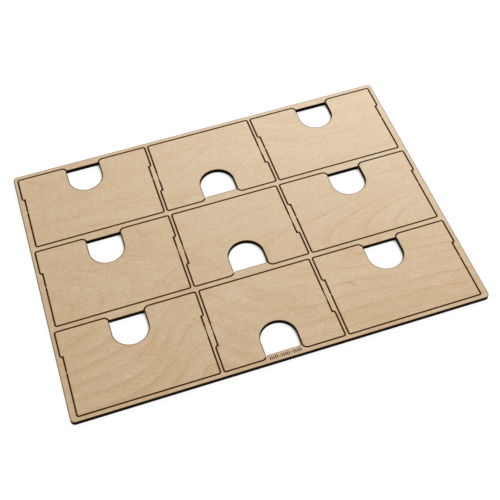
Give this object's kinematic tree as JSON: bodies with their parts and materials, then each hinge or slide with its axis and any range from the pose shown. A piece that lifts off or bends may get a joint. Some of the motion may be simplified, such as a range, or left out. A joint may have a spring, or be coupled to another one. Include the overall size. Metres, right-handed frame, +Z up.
{
  "type": "paint rack divider kit sheet",
  "caption": "Flat laser-cut birch plywood sheet holding a grid of removable divider panels with thumb notches and side ears, each held in the sheet by small uncut bridges.",
  "frame": {"origin": "middle of the sheet, on its underside", "axes": "+X along the long side with the wide dividers left and right, +Y towards the back edge where the wide dividers have their notches, +Z up out of the top face"},
  "size_m": [0.27, 0.2018, 0.003],
  "materials": {
    "birch_carrier": "bare birch veneer, laser-cut edges charred dark brown",
    "birch_divider": "bare birch veneer, laser-cut edges charred dark brown",
    "scorched_bridge": "bare birch darkened by the laser"
  },
  "bodies": {
    "sheet": {"carrier_sheet": "birch_carrier", "bridge_front_left_west": "scorched_bridge", "bridge_front_left_east": "scorched_bridge", "bridge_middle_left_west": "scorched_bridge", "bridge_middle_left_east": "scorched_bridge", "bridge_back_left_west": "scorched_bridge", "bridge_back_left_east": "scorched_bridge", "bridge_front_centre_west": "scorched_bridge", "bridge_front_centre_east": "scorched_bridge", "bridge_middle_centre_west": "scorched_bridge", "bridge_middle_centre_east": "scorched_bridge", "bridge_back_centre_west": "scorched_bridge", "bridge_back_centre_east": "scorched_bridge", "bridge_front_right_west": "scorched_bridge", "bridge_front_right_east": "scorched_bridge", "bridge_middle_right_west": "scorched_bridge", "bridge_middle_right_east": "scorched_bridge", "bridge_back_right_west": "scorched_bridge", "bridge_back_right_east": "scorched_bridge"},
    "divider_front_left": {"wide_divider_front_left": "birch_divider"},
    "divider_middle_left": {"wide_divider_middle_left": "birch_divider"},
    "divider_back_left": {"wide_divider_back_left": "birch_divider"},
    "divider_front_centre": {"narrow_divider_front_centre": "birch_divider"},
    "divider_middle_centre": {"narrow_divider_middle_centre": "birch_divider"},
    "divider_back_centre": {"narrow_divider_back_centre": "birch_divider"},
    "divider_front_right": {"wide_divider_front_right": "birch_divider"},
    "divider_middle_right": {"wide_divider_middle_right": "birch_divider"},
    "divider_back_right": {"wide_divider_back_right": "birch_divider"}
  },
  "joints": [
    {"name": "lift_front_left", "type": "slide", "parent": "sheet", "child": "divider_front_left", "axis": [0, 0, 1], "range_m": [0, 0.025]},
    {"name": "lift_middle_left", "type": "slide", "parent": "sheet", "child": "divider_middle_left", "axis": [0, 0, 1], "range_m": [0, 0.025]},
    {"name": "lift_back_left", "type": "slide", "parent": "sheet", "child": "divider_back_left", "axis": [0, 0, 1], "range_m": [0, 0.025]},
    {"name": "lift_front_centre", "type": "slide", "parent": "sheet", "child": "divider_front_centre", "axis": [0, 0, 1], "range_m": [0, 0.025]},
    {"name": "lift_middle_centre", "type": "slide", "parent": "sheet", "child": "divider_middle_centre", "axis": [0, 0, 1], "range_m": [0, 0.025]},
    {"name": "lift_back_centre", "type": "slide", "parent": "sheet", "child": "divider_back_centre", "axis": [0, 0, 1], "range_m": [0, 0.025]},
    {"name": "lift_front_right", "type": "slide", "parent": "sheet", "child": "divider_front_right", "axis": [0, 0, 1], "range_m": [0, 0.025]},
    {"name": "lift_middle_right", "type": "slide", "parent": "sheet", "child": "divider_middle_right", "axis": [0, 0, 1], "range_m": [0, 0.025]},
    {"name": "lift_back_right", "type": "slide", "parent": "sheet", "child": "divider_back_right", "axis": [0, 0, 1], "range_m": [0, 0.025]}
  ]
}
